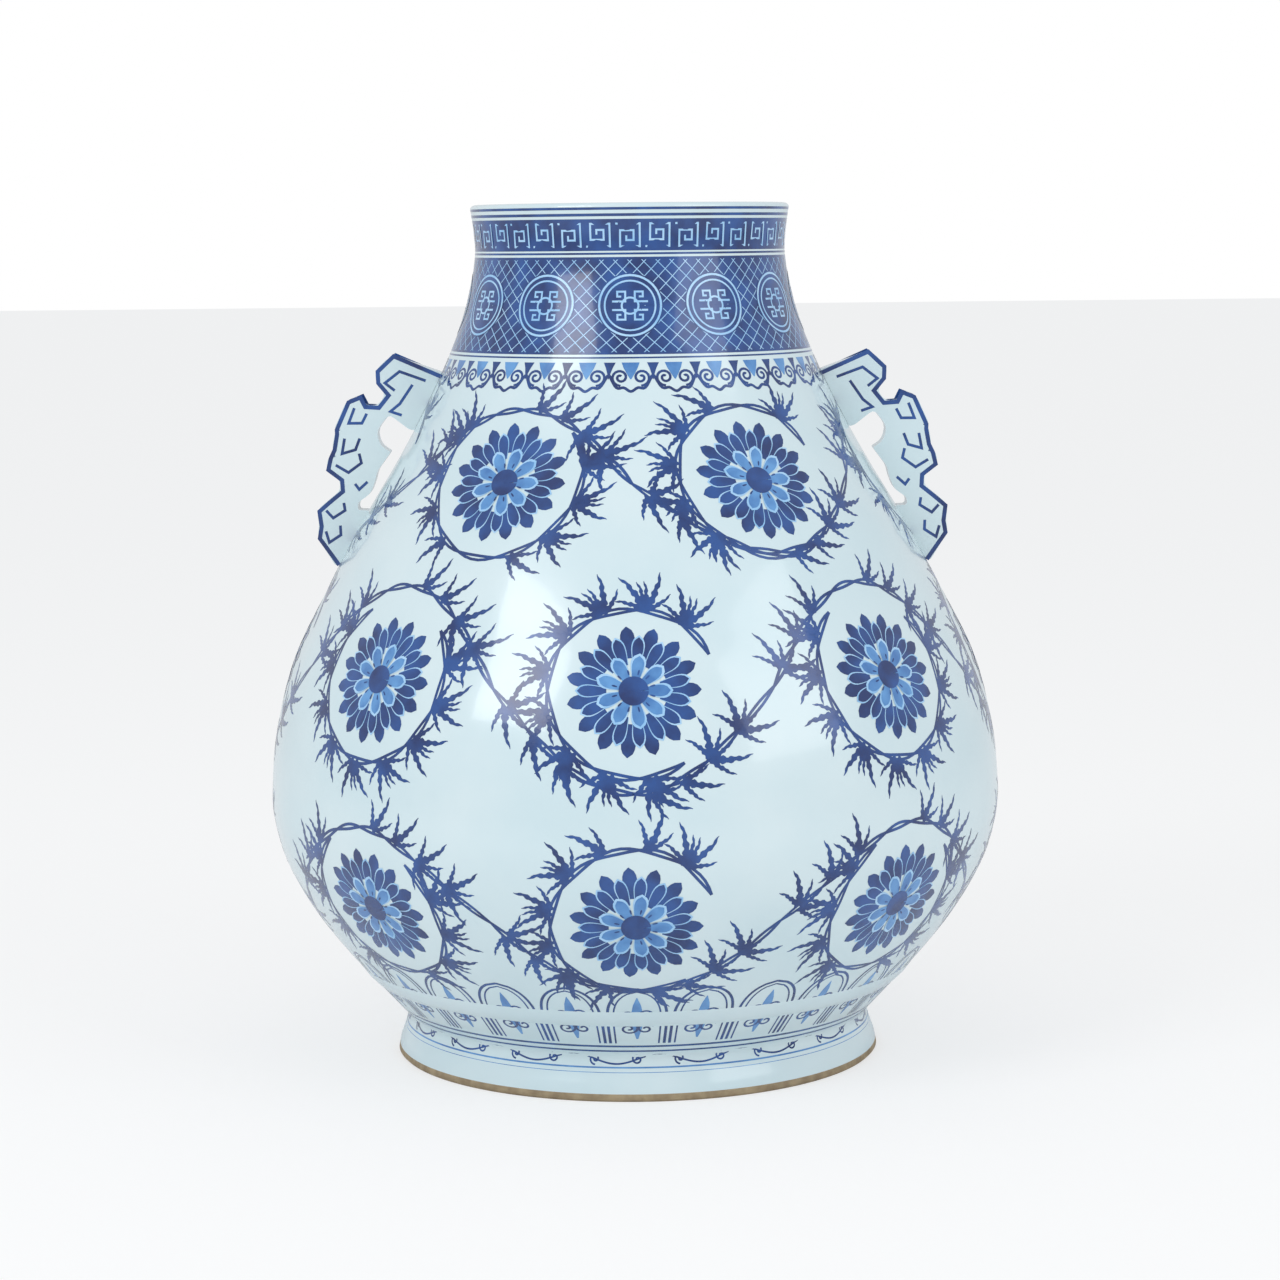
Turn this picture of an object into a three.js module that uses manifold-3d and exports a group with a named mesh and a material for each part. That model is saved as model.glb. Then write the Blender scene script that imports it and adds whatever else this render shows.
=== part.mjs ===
// Two-handled zun vase in blue-and-white porcelain: four thrown sections luted
// one on another, and two press-moulded scroll handles luted on the shoulder.
// Millimetres, +Z up, origin at the centre of the foot's resting face.
import * as THREE from 'three';
import { mergeVertices } from 'three/addons/utils/BufferGeometryUtils.js';
import Module from 'manifold-3d';

// Heights above the table
const footJoint = 22;        // top of the foot ring, underside of the belly
const bellyJoint = 142;      // widest level, where the two body halves meet
const neckJoint = 380;       // above the handles' upper roots
const mouthHeight = 450;

// Outer wall from the foot joint to the mouth, as [radius, height] stations
const wallStations = [
  [123.0, footJoint],
  [153.5, 56],
  [171.9, 80],
  [185.4, 104],
  [191.9, 125],
  [193.4, bellyJoint],
  [190.3, 175],
  [180.6, 211],
  [163.3, 247],
  [144.1, 283],
  [122.8, 318.6],
  [106.7, 348.5],
  [92.4, neckJoint],
  [85.2, 402],
  [81.3, 427],
  [83.9, mouthHeight],
];

// Walls, measured level, and the floor
const bodyWall = 7;
const neckWall = 5.5;
const floorThickness = 10;
const floorFillet = 16;      // inside curve from the floor up into the wall

// Foot ring, flared and hollow underneath
const footBaseRadius = 128.7;
const footFlareHeight = 7;   // level where the flare turns upright
const footFlareRadius = 127.6;
const footRingWidth = 10;    // resting width of the ring
const footBevel = 1.2;       // wiped edge of the unglazed rim
const footInnerRise = 4;     // the ring's inner wall leans in by this much

// Slip joints
const slipGap = 0.3;         // layer of slip between two pieces
const tongueHeight = 4;      // locating tongue on top of each lower section
const tongueShare = 0.5;     // share of the wall that the tongue takes

// Handles: flat moulded slabs with a scroll outline
const handleTail = 261.2;    // height of the lower tip
const handleThickness = 15;
const handleRootDepth = 5;   // stock left inside the wall before it is cut to fit
const handleSeatMargin = 12; // how far the cutting form runs past the handle

// Faceting
const aroundSegments = 48;
const bodyStep = 11;         // height between rings of the lathe profiles
const cornerSegments = 3;

// Right handle's outline: [distance out from the wall, height above the tip,
// corner radius], from the upper root round the outside and back up the gap
const handleOutline = [
  [-handleRootDepth, 100.0, 0],
  [30.5, 111.0, 4],
  [35.5, 103.0, 5],
  [32.5, 97.0, 3],
  [24.0, 90.5, 4],
  [26.0, 84.0, 4],
  [33.5, 84.5, 4],
  [38.5, 89.5, 2],
  [43.5, 87.0, 3],
  [42.5, 72.6, 1.5],
  [38.8, 72.0, 0.6],
  [41.0, 70.0, 1.5],
  [38.0, 62.0, 3],
  [33.6, 57.6, 0.6],
  [37.6, 57.6, 1.5],
  [35.5, 51.5, 4],
  [25.0, 46.0, 5],
  [21.0, 40.0, 4],
  [24.5, 34.5, 4],
  [27.3, 29.5, 3],
  [21.6, 21.5, 2],
  [19.2, 15.2, 4],
  [1.6, 0.0, 1.5],
  [-handleRootDepth, 2.0, 0],
  [-handleRootDepth, 29.0, 0],
  [5.5, 29.4, 1.5],
  [8.0, 33.5, 2],
  [4.0, 38.0, 3],
  [5.8, 45.5, 3],
  [7.6, 50.0, 3],
  [6.0, 60.0, 1],
  [13.0, 63.2, 4],
  [19.8, 71.0, 5],
  [17.5, 80.0, 3],
  [2.0, 71.5, 2],
  [-handleRootDepth, 71.5, 0],
];

const glazedPorcelain = new THREE.MeshStandardMaterial({
  name: 'blue_and_white_porcelain',
  color: 0xc8dfe8,
  roughness: 0.16,
  metalness: 0,
});
const cobaltPorcelain = new THREE.MeshStandardMaterial({
  name: 'cobalt_painted_porcelain',
  color: 0x6f8fb5,
  roughness: 0.16,
  metalness: 0,
});

const wasm = await Module();
wasm.setup();

// Radius of the outer wall at a height: cubic curves through the stations
function wallRadius(height) {
  const last = wallStations.length - 1;
  let i = 0;
  while (i < last - 1 && height > wallStations[i + 1][1]) i += 1;
  const [r0, z0] = wallStations[i];
  const [r1, z1] = wallStations[i + 1];
  const span = z1 - z0;
  const t = THREE.MathUtils.clamp((height - z0) / span, 0, 1);
  const m0 = wallSlope(i) * span;
  const m1 = wallSlope(i + 1) * span;
  const t2 = t * t;
  const t3 = t2 * t;
  return (2 * t3 - 3 * t2 + 1) * r0 + (t3 - 2 * t2 + t) * m0
    + (3 * t2 - 2 * t3) * r1 + (t3 - t2) * m1;
}

// Slope of the wall at a station, from its neighbours
function wallSlope(i) {
  const before = wallStations[Math.max(i - 1, 0)];
  const after = wallStations[Math.min(i + 1, wallStations.length - 1)];
  return (after[0] - before[0]) / (after[1] - before[1]);
}

// Points up the wall from one height to another, set in by a wall thickness
function wallPoints(bottom, top, inset) {
  const steps = Math.max(1, Math.round(Math.abs(top - bottom) / bodyStep));
  const points = [];
  for (let i = 0; i <= steps; i += 1) {
    const z = bottom + (top - bottom) * i / steps;
    points.push(new THREE.Vector2(wallRadius(z) - inset, z));
  }
  return points;
}

// Radius of the tongue's outer face at a joint
function tongueRadius(height, wall) {
  return wallRadius(height) - wall * (1 - tongueShare);
}

// Tongue on top of a lower section, from the outer wall to the inside
function tonguePoints(height, wall) {
  const face = tongueRadius(height, wall);
  const top = height + tongueHeight;
  return [
    new THREE.Vector2(face, height),
    new THREE.Vector2(face, top),
    new THREE.Vector2(wallRadius(top) - wall, top),
  ];
}

// Rebate in the foot of an upper section, from the inside to the outer wall
function rebatePoints(height, lowerWall, inset) {
  const face = tongueRadius(height, lowerWall) + slipGap;
  const top = height + tongueHeight + slipGap;
  return [
    new THREE.Vector2(wallRadius(top) - inset, top),
    new THREE.Vector2(face, top),
    new THREE.Vector2(face, height + slipGap),
  ];
}

// Turned solid from a profile that runs counter-clockwise in [radius, height]
function turned(profile) {
  const closed = profile.map((p) => p.clone());
  if (closed[0].x > 0) closed.push(closed[0].clone());
  const geometry = new THREE.LatheGeometry(closed, aroundSegments);
  geometry.rotateX(Math.PI / 2);
  return geometry;
}

// Belly: the lower half of the body with its floor
function bellyGeometry() {
  const underside = footJoint + slipGap;
  const floorTop = underside + floorThickness;
  const curveTop = floorTop + floorFillet;
  const inside = wallPoints(bellyJoint, curveTop, bodyWall).slice(1);
  const curveRadius = wallRadius(curveTop) - bodyWall;
  const floorEdge = curveRadius - 2 * floorFillet;
  for (let i = 1; i <= cornerSegments; i += 1) {
    const a = (Math.PI / 2) * (i / cornerSegments);
    inside.push(new THREE.Vector2(
      floorEdge + 2 * floorFillet * Math.cos(a),
      curveTop - floorFillet * Math.sin(a),
    ));
  }
  return turned([
    new THREE.Vector2(0, underside),
    ...wallPoints(underside, bellyJoint, 0),
    ...tonguePoints(bellyJoint, bodyWall),
    ...inside,
    new THREE.Vector2(0, floorTop),
  ]);
}

// Shoulder: the upper half of the body, which carries the handles
function shoulderGeometry() {
  const rebate = rebatePoints(bellyJoint, bodyWall, bodyWall);
  return turned([
    ...wallPoints(bellyJoint + slipGap, neckJoint, 0),
    ...tonguePoints(neckJoint, bodyWall),
    ...wallPoints(neckJoint, rebate[0].y, bodyWall).slice(1),
    ...rebate.slice(1),
  ]);
}

// Neck: waisted, with a rounded mouth rim
function neckGeometry() {
  const rimRadius = neckWall / 2;
  const rimLevel = mouthHeight - rimRadius;
  const rimCentre = wallRadius(mouthHeight) - rimRadius;
  const rim = [];
  for (let i = 1; i < 2 * cornerSegments; i += 1) {
    const a = Math.PI * (i / (2 * cornerSegments));
    rim.push(new THREE.Vector2(
      rimCentre + rimRadius * Math.cos(a),
      rimLevel + rimRadius * Math.sin(a),
    ));
  }
  const rebate = rebatePoints(neckJoint, bodyWall, neckWall);
  return turned([
    ...wallPoints(neckJoint + slipGap, rimLevel, 0),
    ...rim,
    ...wallPoints(rimLevel, rebate[0].y, neckWall),
    ...rebate.slice(1),
  ]);
}

// Foot ring: flared outside, leaning in inside, bevelled where it rests
function footGeometry() {
  const innerBase = footBaseRadius - footRingWidth;
  const flare = new THREE.QuadraticBezierCurve(
    new THREE.Vector2(footFlareRadius, footFlareHeight),
    new THREE.Vector2(wallRadius(footJoint) + 2, footJoint * 0.6),
    new THREE.Vector2(wallRadius(footJoint), footJoint),
  );
  return turned([
    new THREE.Vector2(innerBase + footBevel, 0),
    new THREE.Vector2(footBaseRadius - footBevel, 0),
    new THREE.Vector2(footBaseRadius, footBevel),
    ...flare.getPoints(cornerSegments),
    new THREE.Vector2(innerBase - footInnerRise, footJoint),
    new THREE.Vector2(innerBase, footBevel),
  ]);
}

// Closed outline with rounded corners
function roundedShape(corners) {
  const shape = new THREE.Shape();
  const count = corners.length;
  corners.forEach(([x, y, radius], i) => {
    const [px, py] = corners[(i + count - 1) % count];
    const [nx, ny] = corners[(i + 1) % count];
    const toBefore = new THREE.Vector2(px - x, py - y);
    const toAfter = new THREE.Vector2(nx - x, ny - y);
    const cut = Math.min(radius, toBefore.length() / 2, toAfter.length() / 2);
    toBefore.setLength(cut);
    toAfter.setLength(cut);
    if (i === 0) shape.moveTo(x + toBefore.x, y + toBefore.y);
    else shape.lineTo(x + toBefore.x, y + toBefore.y);
    if (cut > 0) shape.quadraticCurveTo(x, y, x + toAfter.x, y + toAfter.y);
  });
  shape.closePath();
  return shape;
}

// Closed mesh as a solid for cutting
function solidOf(geometry) {
  const bare = geometry.clone();
  bare.deleteAttribute('normal');
  bare.deleteAttribute('uv');
  const merged = mergeVertices(bare, 1e-4);
  return new wasm.Manifold(new wasm.Mesh({
    numProp: 3,
    vertProperties: new Float32Array(merged.attributes.position.array),
    triVerts: new Uint32Array(merged.index.array),
  }));
}

// Solid back into a geometry
function geometryOf(solid) {
  const mesh = solid.getMesh();
  const geometry = new THREE.BufferGeometry();
  geometry.setAttribute('position', new THREE.BufferAttribute(mesh.vertProperties, 3));
  geometry.setIndex(new THREE.BufferAttribute(mesh.triVerts, 1));
  geometry.computeVertexNormals();
  return geometry;
}

// The vase's outside, grown by the slip layer, to cut the handles' seats
function seatForm() {
  const top = neckJoint;
  const bottom = handleTail - handleSeatMargin;
  return solidOf(turned([
    new THREE.Vector2(0, bottom),
    ...wallPoints(bottom, top, -slipGap),
    new THREE.Vector2(0, top),
  ]));
}

// Right handle: the slab follows the wall and is cut to sit on it
function handleGeometry() {
  const corners = handleOutline.map(([out, up, radius]) => {
    const z = handleTail + up;
    return [wallRadius(z) + out, z, radius];
  });
  const slab = new THREE.ExtrudeGeometry(roundedShape(corners), {
    depth: handleThickness,
    bevelEnabled: false,
    curveSegments: cornerSegments,
  });
  slab.rotateX(Math.PI / 2);
  slab.translate(0, handleThickness / 2, 0);
  return geometryOf(solidOf(slab).subtract(seatForm()));
}

// Named mesh for one piece
function piece(name, geometry, material) {
  const mesh = new THREE.Mesh(geometry, material);
  mesh.name = name;
  return mesh;
}

const vase = new THREE.Group();
vase.name = 'two_handled_zun_vase';
vase.add(piece('foot_ring', footGeometry(), glazedPorcelain));
vase.add(piece('belly_section', bellyGeometry(), glazedPorcelain));
vase.add(piece('shoulder_section', shoulderGeometry(), glazedPorcelain));
vase.add(piece('neck_section', neckGeometry(), cobaltPorcelain));

const rightHandle = piece('right_handle', handleGeometry(), cobaltPorcelain);
const leftHandle = piece('left_handle', handleGeometry(), cobaltPorcelain);
leftHandle.rotation.z = Math.PI;
vase.add(rightHandle);
vase.add(leftHandle);

export default vase;
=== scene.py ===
# %% [markdown]
# ## The frame
# The imported CAD model comes in first and stays where it is, so every painted
# line below is made in the same metres, with nothing to fit.

# %% Load the imported model
import bpy
import numpy as np
from mathutils import Matrix, Vector


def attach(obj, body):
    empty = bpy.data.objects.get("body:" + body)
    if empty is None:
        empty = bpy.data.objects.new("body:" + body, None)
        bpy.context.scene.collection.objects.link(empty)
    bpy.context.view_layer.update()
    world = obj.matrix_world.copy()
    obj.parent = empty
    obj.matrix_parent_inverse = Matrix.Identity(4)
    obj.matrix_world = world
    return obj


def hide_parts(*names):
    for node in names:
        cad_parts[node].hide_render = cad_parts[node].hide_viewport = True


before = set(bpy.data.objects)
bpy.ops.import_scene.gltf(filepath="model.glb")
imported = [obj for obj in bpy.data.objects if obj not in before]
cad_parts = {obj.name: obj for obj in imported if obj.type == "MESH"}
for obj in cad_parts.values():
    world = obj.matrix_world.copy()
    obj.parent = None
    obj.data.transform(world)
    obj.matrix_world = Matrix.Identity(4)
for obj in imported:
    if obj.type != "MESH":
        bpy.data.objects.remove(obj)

MM = 0.001
TURN = 2 * np.pi
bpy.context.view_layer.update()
print("nodes", sorted(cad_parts))

# %% [markdown]
# ## The thrown wall
# A potter turns the wall on a wheel, so one outline says everything about it:
# a radius for each height. The outline could be a Bezier curve with a Screw
# modifier, but a function is better here, because the painting needs to ask
# the same wall how far round and how far up a brush stroke goes.

# %% Outline of the wall
FOOT_JOINT = 22 * MM
MOUTH = 450 * MM
# each station is a radius and a height, as in the CAD
wall_stations = MM * np.array([
    (123.0, 22), (153.5, 56), (171.9, 80), (185.4, 104), (191.9, 125), (193.4, 142),
    (190.3, 175), (180.6, 211), (163.3, 247), (144.1, 283), (122.8, 318.6),
    (106.7, 348.5), (92.4, 380), (85.2, 402), (81.3, 427), (83.9, 450)])
foot_stations = MM * np.array([(127.5, 0), (128.7, 1.2), (127.6, 7), (124.6, 15), (123.0, 22)])


def wall_radius(z):
    """Radius at height z: cubic curves through the stations, each station
    taking the slope of the line between its two neighbours. Below the foot
    joint, straight lines between the foot's stations."""
    r, h = wall_stations.T
    slope = np.empty_like(r)
    slope[1:-1] = (r[2:] - r[:-2]) / (h[2:] - h[:-2])
    slope[0] = (r[1] - r[0]) / (h[1] - h[0])
    slope[-1] = (r[-1] - r[-2]) / (h[-1] - h[-2])
    i = np.clip(np.searchsorted(h, z) - 1, 0, len(h) - 2)
    span = h[i + 1] - h[i]
    t = np.clip((z - h[i]) / span, 0, 1)
    rise = (t**3 - 2 * t**2 + t) * slope[i] + (t**3 - t**2) * slope[i + 1]
    wall = (2 * t**3 - 3 * t**2 + 1) * r[i] + (3 * t**2 - 2 * t**3) * r[i + 1] + rise * span
    foot = np.interp(z, foot_stations[:, 1], foot_stations[:, 0])
    return np.where(z < FOOT_JOINT, foot, wall)


heights = np.linspace(0, MOUTH, 2001)
steps = np.hypot(np.diff(heights), np.diff(wall_radius(heights)))
lengths = np.concatenate([[0], np.cumsum(steps)])
print("wall length mm", round(lengths[-1] / MM, 1))


# %% Places on the wall
def on_wall(turn, z, lift=0.0):
    """Point on the wall: the radius at height z, turned from the front
    (-Y) towards +X by the angle, and stood off by the lift."""
    r = wall_radius(z) + lift
    return np.stack([r * np.sin(turn), -r * np.cos(turn), z + 0 * turn], axis=-1)


def up_wall(z, along):
    """Height reached from height z by going along the wall's own length."""
    return np.interp(np.interp(z, heights, lengths) + along, lengths, heights)


reached = up_wall(FOOT_JOINT, 50 * MM)
print("50 mm up the wall from the foot joint is at mm", round(float(reached) / MM, 1))

# %% [markdown]
# ## Surfaces from grids
# Every new piece is a grid of points that a formula gives. The points could
# be placed one by one with bmesh, but whole arrays are quick, and joining
# each point to the next one along and the next row keeps all faces looking
# the same way.

# %% Mesh helpers
ROUND = 240    # points in a full turn


def add_mesh(name, points, faces, material):
    """Smooth object at the origin, from arrays of points and of four-cornered
    faces."""
    mesh = bpy.data.meshes.new(name)
    mesh.from_pydata(points.reshape(-1, 3).tolist(), [], faces.reshape(-1, 4).tolist())
    mesh.polygons.foreach_set("use_smooth", np.full(len(mesh.polygons), True))
    mesh.materials.append(material)
    mesh.validate()
    obj = bpy.data.objects.new(name, mesh)
    bpy.context.collection.objects.link(obj)
    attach(obj, "root")
    print(name, len(mesh.polygons), "faces")
    return obj


def grid_faces(rows, columns, wrap=False):
    """Corners of the faces of a grid, row by row; wrap joins the last column
    to the first."""
    index = np.arange(rows * columns).reshape(rows, columns)
    if wrap:
        index = np.concatenate([index, index[:, :1]], axis=1)
    a, b = index[:-1, :-1], index[:-1, 1:]
    c, d = index[1:, 1:], index[1:, :-1]
    return np.stack([a, b, c, d], axis=-1)


def turned(name, profile, material):
    """Profile of radius and height, turned about Z. The profile runs up the
    outside, so that the faces look outwards."""
    angle = np.arange(ROUND) / ROUND * TURN
    r, z = profile[:, :1], profile[:, 1:]
    points = np.stack([r * np.sin(angle), -r * np.cos(angle), z + 0 * angle], axis=-1)
    return add_mesh(name, points, grid_faces(len(profile), ROUND, wrap=True), material)


print("points in a full turn", ROUND)

# %% [markdown]
# ## Glaze and cobalt
# The glaze is a clear, faintly blue glass over white clay: smooth, glossy and
# a little uneven. The cobalt soaks in more in some places than in others, so
# its colour drifts between two blues. One flat colour would look like
# plastic. Soft noise between two near colours gives the drift, and it reads
# Object coordinates, so it stays put on the vase.

# %% Materials
def glazed(name, light, dark, scale, roughness, coat=0.5):
    """Surface whose colour drifts between two values with soft noise, under
    a clear coat."""
    material = bpy.data.materials.new(name)
    material.use_nodes = True
    nodes, links = material.node_tree.nodes, material.node_tree.links
    shader = nodes["Principled BSDF"]
    place = nodes.new("ShaderNodeTexCoord")
    noise = nodes.new("ShaderNodeTexNoise")
    noise.inputs["Scale"].default_value = scale
    noise.inputs["Detail"].default_value = 5
    ramp = nodes.new("ShaderNodeValToRGB")
    low, high = ramp.color_ramp.elements
    low.position = 0.35
    low.color = (*dark, 1)
    high.position = 0.65
    high.color = (*light, 1)
    links.new(place.outputs["Object"], noise.inputs["Vector"])
    links.new(noise.outputs["Fac"], ramp.inputs["Fac"])
    links.new(ramp.outputs["Color"], shader.inputs["Base Color"])
    shader.inputs["Roughness"].default_value = roughness
    shader.inputs["Coat Weight"].default_value = coat
    shader.inputs["Coat Roughness"].default_value = 0.06
    print("material", name)
    return material


glaze = glazed("clear_glaze", (0.66, 0.78, 0.81), (0.60, 0.74, 0.78), 14, 0.2)
cobalt = glazed("dark_cobalt", (0.012, 0.075, 0.290), (0.003, 0.024, 0.130), 60, 0.2)
wash = glazed("cobalt_wash", (0.12, 0.33, 0.66), (0.05, 0.18, 0.46), 80, 0.2)
reserve = glazed("pale_reserve", (0.42, 0.66, 0.90), (0.26, 0.52, 0.82), 90, 0.2)
bare = glazed("bare_clay", (0.40, 0.31, 0.19), (0.27, 0.20, 0.12), 160, 0.75, coat=0)

# %% [markdown]
# ## The glazed body
# The thrown sections are luted together before glazing, and the glaze runs
# over the joints, so what shows is one smooth surface: out over the wall,
# round the mouth, down the inside and over the floor. The CAD sections could
# take the glaze one by one, but their joints would show, so one profile is
# turned about Z and stands for them all.

# %% Glazed body
NECK_JOINT = 380 * MM
BODY_WALL = 7 * MM
NECK_WALL = 5.5 * MM
THINNING = 20 * MM          # the wall thins over this height above the neck joint
FLOOR_TOP = 32 * MM
BOWL_TOP = 2 * FLOOR_TOP    # level where the wall starts to curve into the floor
BOWL_REACH = 0.28           # share of the radius that the curve takes
GLAZE_EDGE = 4 * MM         # the glaze stops here, above the resting edge
PINHOLE = 0.05 * MM         # least radius at the middle

lip_radius = NECK_WALL / 2
lip_level = MOUTH - lip_radius
lip_centre = wall_radius(MOUTH) - lip_radius
lip_angle = np.linspace(0, np.pi, 9)
lip = np.stack([lip_centre + lip_radius * np.cos(lip_angle),
                lip_level + lip_radius * np.sin(lip_angle)], axis=1)

outside_z = np.linspace(GLAZE_EDGE, lip_level, 150)
outside = np.stack([wall_radius(outside_z), outside_z], axis=1)

inside_z = np.linspace(lip_level, BOWL_TOP, 90)[1:]
neck_share = np.clip((inside_z - NECK_JOINT) / THINNING, 0, 1)
thickness = BODY_WALL + (NECK_WALL - BODY_WALL) * neck_share
inside = np.stack([wall_radius(inside_z) - thickness, inside_z], axis=1)

bowl_radius = inside[-1, 0]
bowl = np.linspace(0, np.pi / 2, 12)[1:]
floor_curve = np.stack([bowl_radius * (1 - BOWL_REACH + BOWL_REACH * np.cos(bowl)),
                        FLOOR_TOP + FLOOR_TOP * (1 - np.sin(bowl))], axis=1)
floor_middle = np.array([(0.4 * bowl_radius, FLOOR_TOP), (PINHOLE, FLOOR_TOP)])
body_profile = np.concatenate([outside, lip[1:], inside, floor_curve, floor_middle])
body = turned("glazed_body", body_profile, glaze)
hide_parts("neck_section", "shoulder_section", "belly_section")

# %% [markdown]
# ## Base and resting edge
# Under the vase the foot ring stands round a glazed recess, and its resting
# edge is wiped bare before firing, or the glaze would stick it to the kiln
# shelf. One profile could take both with two materials, but two short turned
# strips are simpler, and each has one finish.

# %% Glazed base and bare rim
FOOT_RADIUS = 128.7 * MM
FOOT_BEVEL = 1.2 * MM
RING_WIDTH = 10 * MM
RECESS_LEAN = 5 * MM     # how far the ring's inner wall leans in at its top
EDGE_LEAN = 1 * MM       # and where the glaze stops

ring_inner = FOOT_RADIUS - RING_WIDTH
base_profile = np.array([
    (PINHOLE, FOOT_JOINT), (0.5 * ring_inner, FOOT_JOINT),
    (ring_inner - RECESS_LEAN, FOOT_JOINT), (ring_inner - EDGE_LEAN, GLAZE_EDGE)])
base = turned("glazed_base", base_profile, glaze)

rim_profile = np.array([
    (ring_inner - EDGE_LEAN, GLAZE_EDGE), (ring_inner, FOOT_BEVEL), (ring_inner + FOOT_BEVEL, 0),
    (FOOT_RADIUS - FOOT_BEVEL, 0), (FOOT_RADIUS, FOOT_BEVEL), (wall_radius(GLAZE_EDGE), GLAZE_EDGE)])
rim = turned("bare_foot_rim", rim_profile, bare)
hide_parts("foot_ring")

# %% [markdown]
# ## Painted lines
# The cobalt is brushed on the raw clay and lies under the glaze. A picture
# wrapped round the vase would do this, but sharp brush edges need very large
# pictures, so each stroke is a thin ribbon that lies on the wall. A ribbon is
# a path with a width at each point, and its sides stand off the path squarely.

# %% Ribbon helper
LIFT = 0.07 * MM    # one layer of paint


def ribbon_sheet(path, width, across=1):
    """Grid of points over a stroke: each path point, moved sideways by shares
    of the width. At a corner the side moves out to where both edges meet."""
    path = np.asarray(path, float)
    width = np.broadcast_to(np.asarray(width, float), path.shape[:-1])
    step = np.diff(path, axis=-2)
    step /= np.maximum(np.linalg.norm(step, axis=-1, keepdims=True), 1e-12)
    side = np.stack([-step[..., 1], step[..., 0]], axis=-1)
    before = np.concatenate([side[..., :1, :], side], axis=-2)
    after = np.concatenate([side, side[..., -1:, :]], axis=-2)
    mitre = before + after
    mitre /= np.maximum(np.linalg.norm(mitre, axis=-1, keepdims=True), 1e-9)
    square = np.sum(mitre * before, axis=-1, keepdims=True)
    mitre /= np.maximum(square, 0.5)
    share = np.linspace(-0.5, 0.5, across + 1)
    offset = width[..., None, None] * share[:, None] * mitre[..., None, :]
    return path[..., None, :] + offset


bend = ribbon_sheet([(0, 0), (1, 0), (1, 1)], 0.2)
print("outer corner where a stroke 0.2 wide turns at (1, 0):", bend[1, 0].round(2))


# %% Brush
class Brush:
    """Strokes of one colour, gathered to become one piece."""

    def __init__(self):
        self.points = []
        self.faces = []
        self.count = 0

    def sheet(self, points):
        """Adds grids of 3-D points with rows along a stroke and columns from
        its right side to its left side."""
        points = points.reshape((-1,) + points.shape[-3:])
        number, rows, columns = points.shape[:3]
        faces = grid_faces(rows, columns)[..., ::-1].reshape(1, -1, 4)
        start = self.count + rows * columns * np.arange(number)[:, None, None]
        self.points.append(points.reshape(-1, 3))
        self.faces.append((faces + start).reshape(-1, 4))
        self.count += number * rows * columns

    def stroke(self, path, width, turn, z, lift=LIFT, across=1):
        """Stroke on the wall: the path's metres go round and up the wall from
        the point at the turn and the height."""
        sheet = ribbon_sheet(path, width, across)
        turn = np.asarray(turn, float)[..., None, None]
        height = up_wall(z, sheet[..., 1])
        angle = turn + sheet[..., 0] / wall_radius(height)
        self.sheet(on_wall(angle, height, lift))

    def band(self, low, high):
        """Band right round the wall between two heights, with a row of points
        about every 3 mm up."""
        turn = np.linspace(0, TURN, ROUND + 1)
        rows = max(2, int((high - low) / (3 * MM)) + 2)
        z = np.linspace(high, low, rows)
        self.sheet(on_wall(turn[:, None], z[None, :], LIFT)[:, ::-1])

    def finish(self, name, material):
        """Piece with all the strokes."""
        return add_mesh(name, np.concatenate(self.points), np.concatenate(self.faces), material)


dark, pale, light = Brush(), Brush(), Brush()
print("one layer of paint mm", LIFT / MM)


# %% Motifs
def turns_of(count, phase=0.0):
    """Angles that share a full turn evenly, moved on by a share of one."""
    return (np.arange(count) + phase) / count * TURN


def repeat(path, count):
    """The same path for each of a number of turns."""
    return np.repeat(np.asarray(path, float)[None], count, axis=0)


def circle_path(radius):
    """Closed circle: the radius times the cosine and sine of the angle."""
    angle = np.linspace(0, TURN, 41)
    return radius * np.stack([np.cos(angle), np.sin(angle)], axis=1)


def spiral(turns, radius, side=1, start=0.0):
    """Spiral that winds inwards: the radius falls evenly with the angle."""
    t = np.linspace(0, 1, 26)
    angle = start + side * turns * TURN * t
    r = radius * (1 - 0.85 * t)
    return np.stack([r * np.cos(angle), r * np.sin(angle)], axis=1)


print("spiral ends at share of radius", round(float(np.linalg.norm(spiral(1, 1)[-1])), 2))

# %% [markdown]
# ## Painted bands
# Blue bands divide the wall. Round the neck the cobalt is the ground, and the
# pattern is left in pale lines. A painter paints round those lines, which as
# a mesh would be one band full of holes. It is simpler to lay a dark ring
# first and pale strokes over it, a layer higher.

# %% Rings and grounds
# lowest and highest level of each band, from the mouth to the foot
DARK_BANDS = ((446.4, 447.7), (443.2, 444.6), (425.9, 441.8), (424.0, 425.0),
              (374.4, 422.8), (372.4, 373.2), (28.4, 29.6), (25.4, 26.4))
WASH_BANDS = ((16.4, 17.2), (14.2, 14.9))
for low, high in DARK_BANDS:
    dark.band(low * MM, high * MM)
for low, high in WASH_BANDS:
    light.band(low * MM, high * MM)
print("bands", len(DARK_BANDS) + len(WASH_BANDS))

# %% [markdown]
# ## The neck's fret, lattice and roundels
# Under the mouth runs a key fret, and below it a lattice with round
# medallions, each with a hooked fret inside. A fret could be bent round the
# neck with a modifier, but the brush already knows the wall, so one key is
# drawn flat and repeated by a list of turns.

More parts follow.
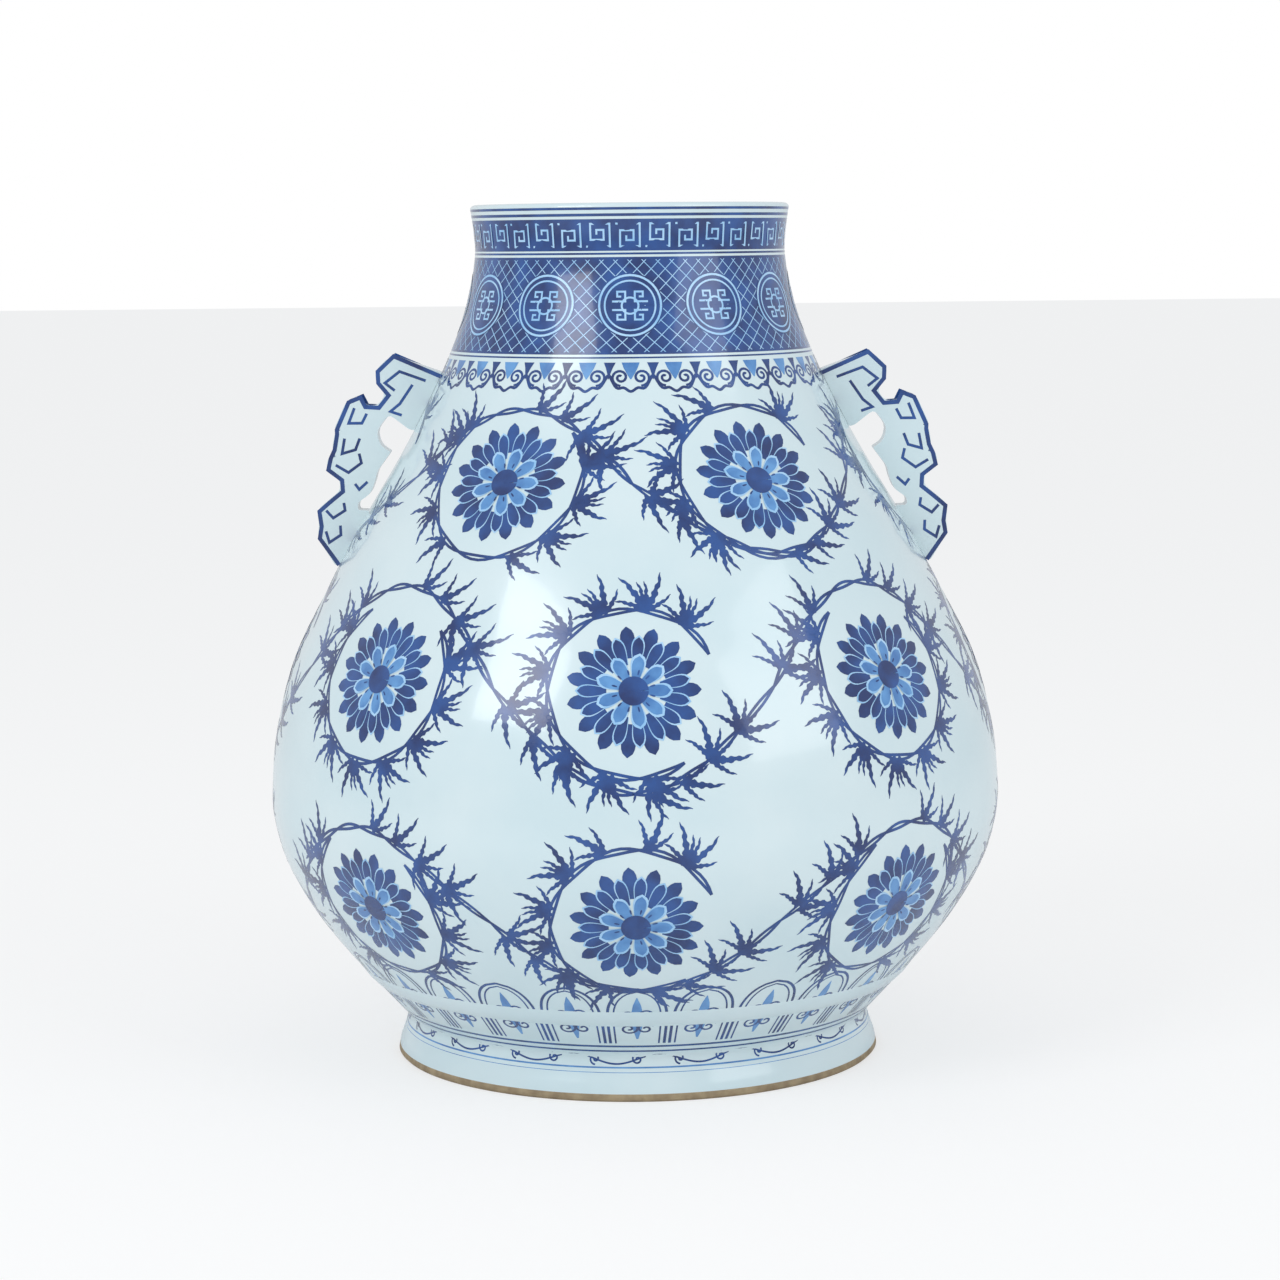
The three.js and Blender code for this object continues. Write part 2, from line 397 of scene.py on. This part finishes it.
# %% Key fret
FRET_COUNT = 34
FRET_SIZE = 5.2 * MM
FRET_LINE = 1.0 * MM
FRET_LEVEL = 433.8 * MM
key = FRET_SIZE * np.array([
    (-1.35, 1.1), (1.0, 1.1), (1.0, -1.1), (-0.9, -1.1), (-0.9, 0.45),
    (0.4, 0.45), (0.4, -0.5), (-0.3, -0.5), (-0.3, -0.05)])
keys = repeat(key, FRET_COUNT)
keys[1::2, :, 1] *= -1    # every other key hangs upside down
pale.stroke(keys, FRET_LINE, turns_of(FRET_COUNT), FRET_LEVEL, 2 * LIFT)
print("keys", FRET_COUNT)

# %% Lattice
LATTICE_COUNT = 72
LATTICE_LEVEL = 398.5 * MM
LATTICE_HEIGHT = 46 * MM
LATTICE_SLANT = 0.55     # angle that a line goes round over the height
HALF_LINE = 0.3 * MM
NECK_RADIUS = 88 * MM    # middle value, which turns the line's width to an angle
lattice_rows = np.linspace(-0.5, 0.5, 17)
lattice_z = LATTICE_LEVEL + LATTICE_HEIGHT * lattice_rows
line_edges = np.array([-1, 1]) * HALF_LINE / NECK_RADIUS
for slant in (-LATTICE_SLANT, LATTICE_SLANT):
    line_turn = turns_of(LATTICE_COUNT)[:, None] + slant * lattice_rows[None, :]
    pale.sheet(on_wall(line_turn[..., None] - line_edges, lattice_z[None, :, None], 2 * LIFT))
print("lattice lines", 2 * LATTICE_COUNT)

# %% Roundels
ROUNDELS = 12
ROUNDEL_LINE = 1.0 * MM
# radius of the ring's middle, its width, the brush, and how many layers up
ROUNDEL_RINGS = ((6.0, 12.0, dark, 3), (14.3, 5.0, dark, 3), (15.6, 1.1, pale, 4),
                 (12.8, 0.9, pale, 4), (4.2, 1.0, pale, 4))
roundel_turn = turns_of(ROUNDELS)
for radius, width, brush, layers in ROUNDEL_RINGS:
    rings = repeat(circle_path(radius * MM), ROUNDELS)
    brush.stroke(rings, width * MM, roundel_turn, LATTICE_LEVEL, layers * LIFT, across=4)
hook = MM * np.array([(-9, 2.2), (-2.4, 2.2), (-2.4, 7.2), (-6.4, 7.2), (-6.4, 4.7), (-4.4, 4.7)])
for sx in (-1, 1):
    for sy in (-1, 1):
        hooks = repeat(hook * (sx, sy), ROUNDELS)
        pale.stroke(hooks, ROUNDEL_LINE, roundel_turn, LATTICE_LEVEL, 4 * LIFT)
print("roundels", ROUNDELS)

# %% [markdown]
# ## Ruyi heads, lappets and the foot's scroll
# Three narrow borders frame the main field: cloud-shaped heads under the
# neck, upright petal panels above the foot, and a scroll round the foot. Each
# motif could be a curve with an Array modifier, but here it is drawn once in
# metres and repeated by a list of turns, as the painter does from a pricked
# paper.

# %% Ruyi heads under the neck
RUYI = 28
RUYI_LEVEL = 364.5 * MM
ruyi_turn = turns_of(RUYI)
for side in (-1, 1):
    curl = spiral(1.6, 4.6 * MM, side, start=-np.pi / 2) + (side * 5.2 * MM, -1.5 * MM)
    dark.stroke(repeat(curl, RUYI), 1.3 * MM, ruyi_turn, RUYI_LEVEL)
across = np.linspace(-1, 1, 25)
head = MM * np.stack([10.8 * across,
                      -8.2 + 7 * np.abs(across) ** 3 - 0.9 * np.cos(3 * np.pi * across)], axis=1)
dark.stroke(repeat(head, RUYI), 1.5 * MM, ruyi_turn, RUYI_LEVEL)
drop = MM * np.array([(0, 6.5), (0, 3.5), (0, 0.5), (0, -2.5)])
drop_widths = MM * np.array([9, 7, 4, 0.6])
light.stroke(repeat(drop, RUYI), drop_widths, ruyi_turn, RUYI_LEVEL, across=3)
dart = drop + (11.2 * MM, 0)
dart_widths = MM * np.array([6, 3.4, 1.6, 0.4])
dark.stroke(repeat(dart, RUYI), dart_widths, ruyi_turn, RUYI_LEVEL)
print("ruyi heads", RUYI)

# %% Lappets above the foot
LAPPETS = 28
LAPPET_LEVEL = 31 * MM
LAPPET_HALF = 13.4 * MM
LAPPET_HEIGHT = 46 * MM
lappet_turn = turns_of(LAPPETS)
t = np.linspace(0, 1, 25)
for scale, width in ((1.0, 1.5), (0.80, 0.9)):
    half_width = scale * LAPPET_HALF * (1 - t ** 5) ** 0.6 * (1 + 0.25 * t)
    level = LAPPET_HEIGHT * t * (0.75 + 0.25 * scale)
    for side in (-1, 1):
        arch = np.stack([side * half_width, level], axis=1)
        dark.stroke(repeat(arch, LAPPETS), width * MM, lappet_turn, LAPPET_LEVEL)
for side in (-1, 1):
    for level, size, start in ((13, 4.6, 0.5), (25, 4.0, -0.3)):
        curl = spiral(1.4, size * MM, side, start=start) + (side * 4.2 * MM, level * MM)
        dark.stroke(repeat(curl, LAPPETS), 1.2 * MM, lappet_turn, LAPPET_LEVEL)
tongue = MM * np.array([(0, 4), (0, 14), (0, 24), (0, 33), (0, 39)])
tongue_widths = MM * np.array([1, 5, 6.5, 4, 0.4])
light.stroke(repeat(tongue, LAPPETS), tongue_widths, lappet_turn, LAPPET_LEVEL, across=2)
print("lappets", LAPPETS)

# %% Scroll round the foot
SCROLLS = 36
SCROLL_LEVEL = 21 * MM
SCROLL_SWING = 2.4 * MM
SCROLL_HALF_LINE = 0.45 * MM
wave_turn = np.linspace(0, TURN, 721)
wave_z = SCROLL_LEVEL + SCROLL_SWING * np.sin(SCROLLS / 2 * wave_turn)
wave_edges = wave_z[:, None] + SCROLL_HALF_LINE * np.array([-1, 1])
dark.sheet(on_wall(wave_turn[:, None], wave_edges, LIFT)[:, ::-1])
for first, side in ((0, 1), (1, -1)):
    curl = spiral(1.3, 2.9 * MM, side, start=side * np.pi / 2)
    curls = repeat(curl, SCROLLS // 2)
    dark.stroke(curls, 0.9 * MM, turns_of(SCROLLS)[first::2], SCROLL_LEVEL)
print("scroll curls", SCROLLS)

# %% [markdown]
# ## The lotus flowers
# The main field holds flowers in three tiers. A painter sets them out first.
# A flower could be a flat picture of petals, but here each petal is one brush
# stroke that swells and comes to a point, laid in rows from the outside in,
# each row a layer higher, so that the inner ones lie on top.

# %% Lotus flower
FLOWER = 33 * MM


def petals(brush, centre, count, inner, outer, width, phase=0.0, lift=LIFT):
    """Petals round a flower: each a stroke from the inner to the outer share
    of the flower's radius, widest past its middle and pointed at its end."""
    angle = turns_of(count, phase)[:, None]
    share = np.linspace(0, 1, 9)[None, :]
    r = FLOWER * (inner + (outer - inner) * share)
    path = np.stack([r * np.cos(angle), r * np.sin(angle)], axis=-1)
    swell = width * (0.35 + 0.65 * share) * (1 - share ** 4) ** 0.8 + 0.15 * MM
    brush.stroke(path, swell + 0 * angle, centre[0], centre[1], lift, across=2)


def flower(turn, z):
    """Two rows of dark petals with pale edges between them, a row of cloud
    petals in wash with pale edges, and a dark seed head with short marks
    round it."""
    centre = (turn, z)
    petals(dark, centre, 15, 0.50, 1.00, 10.5 * MM)
    petals(pale, centre, 15, 0.40, 0.86, 9.6 * MM, phase=0.5, lift=2 * LIFT)
    petals(dark, centre, 15, 0.40, 0.83, 8.0 * MM, phase=0.5, lift=3 * LIFT)
    petals(pale, centre, 9, 0.20, 0.58, 11.0 * MM, lift=4 * LIFT)
    petals(light, centre, 9, 0.16, 0.54, 8.6 * MM, lift=5 * LIFT)
    dark.stroke(circle_path(0.11 * FLOWER), 0.22 * FLOWER, turn, z, 6 * LIFT)
    petals(dark, centre, 12, 0.25, 0.33, 1.1 * MM, phase=0.5, lift=6 * LIFT)


print("flower across mm", 2 * FLOWER / MM)

# %% [markdown]
# ## The scroll of vines and leaves
# Vines wind between the flowers and round them, and the rest is filled with
# leaf sprigs. They could be drawn by hand along traced curves, but then each
# would have to be entered point by point. A few formulas give a similar
# rhythm: a wave from flower to flower, a hook round each one, and sprigs that
# leave both vines at even steps and stay clear of the petals.

# %% Vine and leaf sprigs
VINE_WIDTH = 1.5 * MM
VINE_CROSSING = 1.2 * MM    # how far the two strands swing from the path
SPRIG_LENGTH = 21 * MM
SPRIG_WIDTH = 3.9 * MM
SPRIG_BEND = 0.5


def vine(path, turn, z, crossings):
    """Stem along a path: two strands that cross over and over, each moved
    sideways from the path by a sine wave."""
    t = np.linspace(0, 1, len(path))
    step = np.gradient(path, axis=0)
    side_step = np.stack([-step[:, 1], step[:, 0]], axis=1)
    side_step /= np.linalg.norm(side_step, axis=1, keepdims=True)
    for side in (-1, 1):
        strand = path + side * VINE_CROSSING * np.sin(crossings * np.pi * t)[:, None] * side_step
        dark.stroke(strand, VINE_WIDTH, turn, z)


def sprig(turn, z, root, aim):
    """Leaf of three prongs: each prong bends, wavers and tapers, and its edge
    is notched by a wave in the width."""
    t = np.linspace(0, 1, 22)
    for spread, share in ((0.0, 1.0), (0.62, 0.72), (-0.62, 0.72)):
        angle = aim + spread + SPRIG_BEND * t + 0.32 * np.sin(2.6 * TURN * t) * t
        step = share * SPRIG_LENGTH / (len(t) - 1)
        path = np.asarray(root) + np.cumsum(step * np.stack([np.cos(angle), np.sin(angle)], 1), 0)
        notch = 1 + 0.35 * np.sin(5 * TURN * t)
        width = SPRIG_WIDTH * share * (1 - t) ** 0.7 * notch + 0.25 * MM
        dark.stroke(path, width, turn, z)


print("sprig mm", SPRIG_LENGTH / MM)

# %% Ways of the vines
CLEAR = 36 * MM          # the flower and the gap round it
HOOK_GAP = 7 * MM        # from that gap to the hook


def linking_vine(hand, swing, cell):
    """Wave over a flower's cell: half a cosine, as high as the swing at the
    flower and back at its level where the next cell starts."""
    x = np.linspace(-0.5, 0.5, 60) * cell
    return np.stack([x, hand * swing * np.cos(np.pi * x / cell)], axis=1)


def hook_angles(hand):
    """Angles of the hook round a flower: a little over three quarters of a
    turn."""
    return np.pi / 2 * hand + 1.55 * np.pi * np.linspace(0, 1, 50) * hand + 0.6


def hook_path(angle):
    """Hook round a flower: an arc whose radius shrinks by a twentieth."""
    r = (CLEAR + HOOK_GAP) * (1 - 0.05 * np.linspace(0, 1, len(angle)))
    return np.stack([r * np.cos(angle), r * np.sin(angle)], axis=1)


def sprig_roots(stem, curve, angle):
    """Places and aims of the sprigs: on both sides of the wave at every sixth
    point, and of the hook at every fifth."""
    for i in range(3, 57, 6):
        along = np.arctan2(*(stem[i + 1] - stem[i])[::-1])
        for side in (-1, 1):
            yield stem[i], along + side * 0.9
    for i in range(4, 48, 5):
        for side in (-1, 1):
            yield curve[i], angle[i] + side * 0.5


def has_room(tip, cell, swing):
    """True for a sprig whose tip is clear of the flower and its neighbours,
    and doesn't go far above or below its tier."""
    clear = all(np.hypot(tip[0] - x, tip[1]) > CLEAR for x in (-cell, 0, cell))
    return clear and abs(tip[1]) < swing + 14 * MM


print("hook radius mm", (CLEAR + HOOK_GAP) / MM)

# %% Scroll of each tier
HANDLE_TAIL = 261.2 * MM    # lowest level of the handles
# level, flowers, angle of the first one, and swing of the linking vine
TIERS = ((312 * MM, 6, np.radians(30), 40 * MM),
         (216 * MM, 8, 0.0, 50 * MM),
         (101 * MM, 8, 0.0, 44 * MM))
sprig_total = 0
for tier_z, count, first, swing in TIERS:
    cell = TURN * float(wall_radius(tier_z)) / count
    for n in range(count):
        turn = first + n * TURN / count
        hand = 1 if n % 2 else -1
        behind_handle = tier_z > HANDLE_TAIL and abs(np.sin(turn)) > 0.99
        if not behind_handle:
            flower(turn, tier_z)
        stem = linking_vine(hand, swing, cell)
        vine(stem, turn, tier_z, 8)
        angle = hook_angles(hand)
        curve = hook_path(angle)
        vine(curve, turn, tier_z, 9)
        for root, aim in sprig_roots(stem, curve, angle):
            tip = root + SPRIG_LENGTH * np.array([np.cos(aim), np.sin(aim)])
            if has_room(tip, cell, swing):
                sprig(turn, tier_z, root, aim)
                sprig_total += 1
print("sprigs", sprig_total)

# %% [markdown]
# ## Handles
# Each handle is a moulded slab, painted on both faces with a blue line along
# its edge and small hooks inside it. The CAD slab already has the real shape,
# so it stays and only takes the glaze. The lines could be cut into it, but
# paint has no depth, so they are ribbons just off its two faces.

# %% Handles' glaze
for name in ("left_handle", "right_handle"):
    slab = bpy.data.objects[name]
    slab.data.materials.clear()
    slab.data.materials.append(glaze)
    print(name, "glazed")

# %% Handles' painting
HANDLE_HALF = 7.5 * MM
EDGE_LINE = 2.2 * MM
HOOK_LINE = 1.5 * MM
LINE_INSET = 1.3 * MM     # the line lies in from the outline
LINE_DROP = 0.6 * MM      # and a little lower
HANDLE_LIFT = 0.05 * MM
# points are how far out from the wall and how far up from the lowest tip
handle_edge = MM * np.array([
    (0.5, 100.0), (30.5, 111.0), (35.5, 103.0), (32.5, 97.0), (24.0, 90.5), (26.0, 84.0),
    (33.5, 84.5), (38.5, 89.5), (43.5, 87.0), (42.5, 72.6), (41.0, 70.0), (38.0, 62.0),
    (37.6, 57.6), (35.5, 51.5), (25.0, 46.0), (21.0, 40.0), (24.5, 34.5), (27.3, 29.5),
    (21.6, 21.5), (19.2, 15.2), (1.6, 1.0)])
handle_hooks = [MM * np.array(points) for points in (
    [(8, 98), (24, 103), (29, 97), (22, 93)], [(14, 96), (16, 86), (19, 82), (12, 80)],
    [(39, 84), (38, 76), (31, 76), (31, 81)], [(36, 68), (33, 60), (27, 62), (28, 68)],
    [(33, 54), (24, 50), (20, 55), (24, 60)], [(17, 44), (13, 41), (11, 45)],
    [(24, 30), (18, 26), (14, 30), (17, 34)], [(18, 19), (13, 13), (9, 17), (12, 22)])]


def paint_handle(path, width, side, face):
    """Line on one face of one handle: each point goes out from the wall's
    radius at its height."""
    z = HANDLE_TAIL + path[:, 1]
    flat = np.stack([wall_radius(z) + path[:, 0] - LINE_INSET, z - LINE_DROP], axis=1)
    sheet = ribbon_sheet(flat, width)
    y = np.full(sheet.shape[:-1], face * (HANDLE_HALF + HANDLE_LIFT))
    points = np.stack([side * sheet[..., 0], y, sheet[..., 1]], axis=-1)
    dark.sheet(points if side * face < 0 else points[:, ::-1])


for side in (-1, 1):
    for face in (-1, 1):
        paint_handle(handle_edge, EDGE_LINE, side, face)
        for path in handle_hooks:
            paint_handle(path, HOOK_LINE, side, face)
print("lines on each handle's face", 1 + len(handle_hooks))

# %% [markdown]
# ## The painting as pieces
# On the real vase all the painting is one layer under the glaze. Every stroke
# could be an object, but thousands of objects are slow, so the strokes of one
# blue become one mesh: dark cobalt, pale reserved lines and light wash.

# %% Finish the painting
dark.finish("dark_cobalt_painting", cobalt)
pale.finish("pale_reserved_lines", reserve)
light.finish("light_wash_painting", wash)

# %% [markdown]
# ## Floor and background
# The vase stands on white paper. More light would whiten the floor but would
# bleach the glaze too, so the paper looks partly lit by itself to the camera
# alone, and the vase's shadow stays on it.

# %% Floor
PAPER_GLOW = 0.6    # share of its own light that the camera sees
FLOOR_HALF = 20     # metres from the middle to the floor's edge


def white_paper(name):
    """White paper, mixed for the camera's rays with its own white light."""
    material = bpy.data.materials.new(name)
    material.use_nodes = True
    nodes, links = material.node_tree.nodes, material.node_tree.links
    shader = nodes["Principled BSDF"]
    shader.inputs["Base Color"].default_value = (0.93, 0.94, 0.94, 1)
    shader.inputs["Roughness"].default_value = 0.9
    shader.inputs["Specular IOR Level"].default_value = 0
    glow = nodes.new("ShaderNodeEmission")
    glow.inputs["Color"].default_value = (1, 1, 1, 1)
    rays = nodes.new("ShaderNodeLightPath")
    share = nodes.new("ShaderNodeMath")
    share.operation = "MULTIPLY"
    share.inputs[1].default_value = PAPER_GLOW
    mix = nodes.new("ShaderNodeMixShader")
    links.new(rays.outputs["Is Camera Ray"], share.inputs[0])
    links.new(share.outputs[0], mix.inputs["Fac"])
    links.new(shader.outputs[0], mix.inputs[1])
    links.new(glow.outputs[0], mix.inputs[2])
    links.new(mix.outputs[0], nodes["Material Output"].inputs["Surface"])
    return material


corners = [(FLOOR_HALF * x, FLOOR_HALF * y, 0) for x, y in ((-1, -1), (1, -1), (1, 1), (-1, 1))]
floor_mesh = bpy.data.meshes.new("floor")
floor_mesh.from_pydata(corners, [], [(0, 1, 2, 3)])
floor_mesh.materials.append(white_paper("white_floor"))
floor = bpy.data.objects.new("floor", floor_mesh)
bpy.context.collection.objects.link(floor)
print("floor m", 2 * FLOOR_HALF)

# %% [markdown]
# ## Light
# The photograph has soft light from the front on both sides. Small lamps
# would give hard spots on the glaze, so two large square lamps do it, and a
# pale sky fills the shadows. The camera sees plain white in place of the sky.

# %% Sky
SKY_STRENGTH = 0.75
world = bpy.data.worlds.new("studio")
bpy.context.scene.world = world
world.use_nodes = True
nodes, links = world.node_tree.nodes, world.node_tree.links
sky = nodes["Background"]
sky.inputs["Color"].default_value = (0.95, 0.97, 1.0, 1)
sky.inputs["Strength"].default_value = SKY_STRENGTH
seen = nodes.new("ShaderNodeBackground")
seen.inputs["Color"].default_value = (1, 1, 1, 1)
mix = nodes.new("ShaderNodeMixShader")
rays = nodes.new("ShaderNodeLightPath")
links.new(rays.outputs["Is Camera Ray"], mix.inputs["Fac"])
links.new(sky.outputs[0], mix.inputs[1])
links.new(seen.outputs[0], mix.inputs[2])
links.new(mix.outputs[0], nodes["World Output"].inputs["Surface"])
print("sky strength", SKY_STRENGTH)

# %% Lamps
LAMP_AIM = Vector((0, 0, 0.25))    # just above the vase's middle


def softbox(name, place, size, power):
    """Square lamp that faces the vase."""
    lamp = bpy.data.lights.new(name, "AREA")
    lamp.shape = "SQUARE"
    lamp.size = size
    lamp.energy = power
    obj = bpy.data.objects.new(name, lamp)
    obj.location = place
    obj.rotation_euler = (LAMP_AIM - obj.location).to_track_quat("-Z", "Y").to_euler()
    bpy.context.collection.objects.link(obj)
    print(name, power, "W")


softbox("key_lamp", (-1.3, -1.5, 1.5), 1.0, 14)
softbox("fill_lamp", (1.5, -1.2, 1.2), 1.2, 8)

# %% [markdown]
# ## Camera
# The camera stands where the photograph was taken from: a long lens a little
# under 1.8 metres away, looking slightly down. It could be aimed with a
# constraint, but a written place and three angles give the same frame on
# every run.

# %% Camera
LENS = 94.2               # mm
SENSOR = 36               # mm
CAMERA_PLACE = (0.00331, -1.7753, 0.43255)
DOWN = 6.857              # degrees
ROLL = -0.57              # degrees
lens = bpy.data.cameras.new("camera")
lens.lens = LENS
lens.sensor_width = SENSOR
camera = bpy.data.objects.new("camera", lens)
pitch = Matrix.Rotation(np.radians(90 - DOWN), 4, "X")
roll = Matrix.Rotation(np.radians(ROLL), 4, "Z")
camera.matrix_world = Matrix.Translation(CAMERA_PLACE) @ pitch @ roll
bpy.context.collection.objects.link(camera)
bpy.context.scene.camera = camera
bpy.context.scene.view_settings.view_transform = "Standard"
print("camera", CAMERA_PLACE)

# %% [markdown]
# ## Sizes
# Paint and glaze add next to nothing to a vase's size, so the box of all that
# shows should be the CAD box and a layer of paint.


print("scene built")
